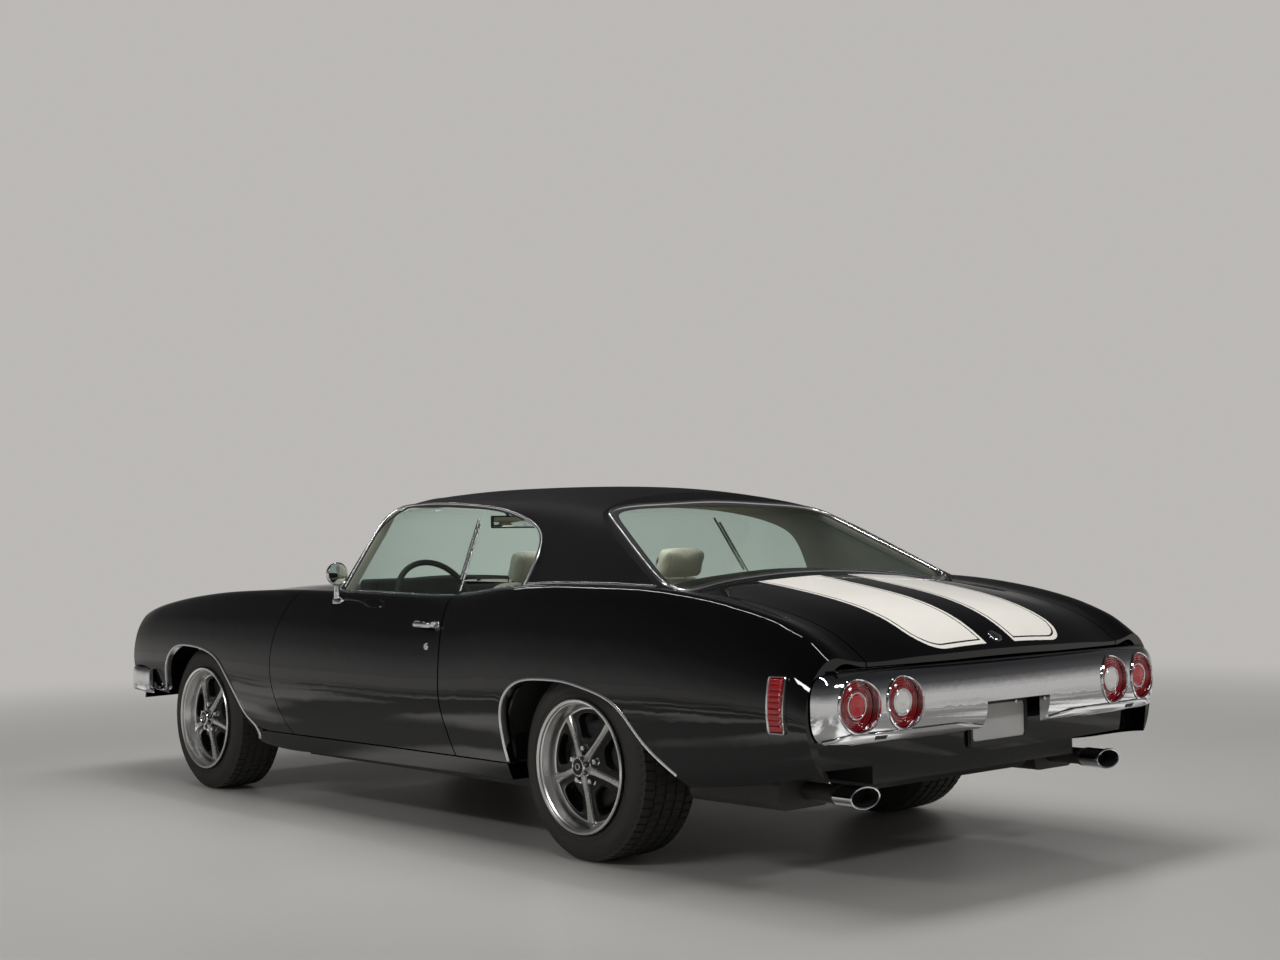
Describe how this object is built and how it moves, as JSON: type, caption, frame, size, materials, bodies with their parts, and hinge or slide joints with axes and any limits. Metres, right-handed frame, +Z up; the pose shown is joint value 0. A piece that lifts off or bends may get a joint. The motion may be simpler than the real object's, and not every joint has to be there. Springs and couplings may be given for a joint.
{
  "type": "two-door hardtop muscle car",
  "caption": "Full-size two-door hardtop coupe with opening doors, hood and deck lid, steered front wheels, a hollow cabin with seats, chrome bumpers and a separate frame.",
  "frame": {"origin": "on the ground, midway between the two bumpers and between the two sides", "axes": "+X forward along the car, +Y to the car's left, +Z up"},
  "size_m": [5.0159, 1.944, 1.3677],
  "materials": {
    "body_paint": "gloss black clearcoat",
    "vinyl_roof": "grained black vinyl",
    "tinted_glass": "clear, lightly tinted",
    "bright_chrome": "polished",
    "chassis_black": "satin black",
    "dark_plastic": "matt black",
    "tyre_rubber": "matt black",
    "wheel_alloy": "machined silver",
    "iron_grey": "rough grey",
    "engine_paint": "satin",
    "exhaust_steel": "brushed",
    "red_lens": "clear red lens",
    "clear_lens": "clear ribbed lens",
    "seat_vinyl": "light grained vinyl",
    "plate_blank": "plain grey"
  },
  "bodies": {
    "body": {"front_fenders": "body_paint", "quarter_panels": "body_paint", "rear_deck_panel": "body_paint", "sills": "body_paint", "cowl_panel": "body_paint", "roof": "vinyl_roof", "fixed_glass": "tinted_glass", "frame": "chassis_black", "floor_pan": "chassis_black", "engine_block": "engine_paint", "driveline": "iron_grey", "rear_axle": "iron_grey", "suspension_arms": "chassis_black", "radiator": "chassis_black", "fuel_tank": "exhaust_steel", "exhaust": "exhaust_steel", "front_bumper": "bright_chrome", "rear_bumper": "bright_chrome", "tail_lamps": "red_lens", "end_panels": "body_paint", "number_plate": "plate_blank", "grille": "bright_chrome", "headlamps": "clear_lens", "marker_lamps": "red_lens", "dashboard": "dark_plastic", "front_seats": "seat_vinyl", "rear_seat": "seat_vinyl"},
    "door_left": {"door_left": "body_paint", "door_glass_left": "tinted_glass", "mirror_left": "bright_chrome"},
    "door_right": {"door_right": "body_paint", "door_glass_right": "tinted_glass", "mirror_right": "bright_chrome"},
    "hood": {"hood": "body_paint"},
    "deck_lid": {"deck_lid": "body_paint"},
    "knuckle_left": {"knuckle_left": "iron_grey"},
    "knuckle_right": {"knuckle_right": "iron_grey"},
    "wheel_front_left": {"wheel_front_left": "wheel_alloy", "tyre_front_left": "tyre_rubber"},
    "wheel_front_right": {"wheel_front_right": "wheel_alloy", "tyre_front_right": "tyre_rubber"},
    "wheel_rear_left": {"wheel_rear_left": "wheel_alloy", "tyre_rear_left": "tyre_rubber"},
    "wheel_rear_right": {"wheel_rear_right": "wheel_alloy", "tyre_rear_right": "tyre_rubber"}
  },
  "joints": [
    {"name": "door_left_hinge", "type": "hinge", "parent": "body", "child": "door_left", "pos_m": [0.731, 0.925, 0.6], "axis": [0, 0, -1], "range_deg": [0, 65]},
    {"name": "door_right_hinge", "type": "hinge", "parent": "body", "child": "door_right", "pos_m": [0.731, -0.925, 0.6], "axis": [0, 0, 1], "range_deg": [0, 65]},
    {"name": "hood_hinge", "type": "hinge", "parent": "body", "child": "hood", "pos_m": [0.74, 0, 0.91], "axis": [0, -1, 0], "range_deg": [0, 50]},
    {"name": "deck_lid_hinge", "type": "hinge", "parent": "body", "child": "deck_lid", "pos_m": [-1.48, 0, 0.935], "axis": [0, 1, 0], "range_deg": [0, 60]},
    {"name": "steer_left", "type": "hinge", "parent": "body", "child": "knuckle_left", "pos_m": [1.571, 0.69, 0.335], "axis": [0, 0, 1], "range_deg": [-33, 33]},
    {"name": "steer_right", "type": "hinge", "parent": "body", "child": "knuckle_right", "pos_m": [1.571, -0.69, 0.335], "axis": [0, 0, 1], "range_deg": [-33, 33]},
    {"name": "wheel_front_left_spin", "type": "hinge", "parent": "knuckle_left", "child": "wheel_front_left", "pos_m": [1.571, 0.764, 0.335], "axis": [0, 1, 0], "continuous": true},
    {"name": "wheel_front_right_spin", "type": "hinge", "parent": "knuckle_right", "child": "wheel_front_right", "pos_m": [1.571, -0.764, 0.335], "axis": [0, 1, 0], "continuous": true},
    {"name": "wheel_rear_left_spin", "type": "hinge", "parent": "body", "child": "wheel_rear_left", "pos_m": [-1.274, 0.752, 0.335], "axis": [0, 1, 0], "continuous": true},
    {"name": "wheel_rear_right_spin", "type": "hinge", "parent": "body", "child": "wheel_rear_right", "pos_m": [-1.274, -0.752, 0.335], "axis": [0, 1, 0], "continuous": true}
  ],
  "couplings": [
    {"joint": "steer_right", "follows": "steer_left", "ratio": 1}
  ]
}
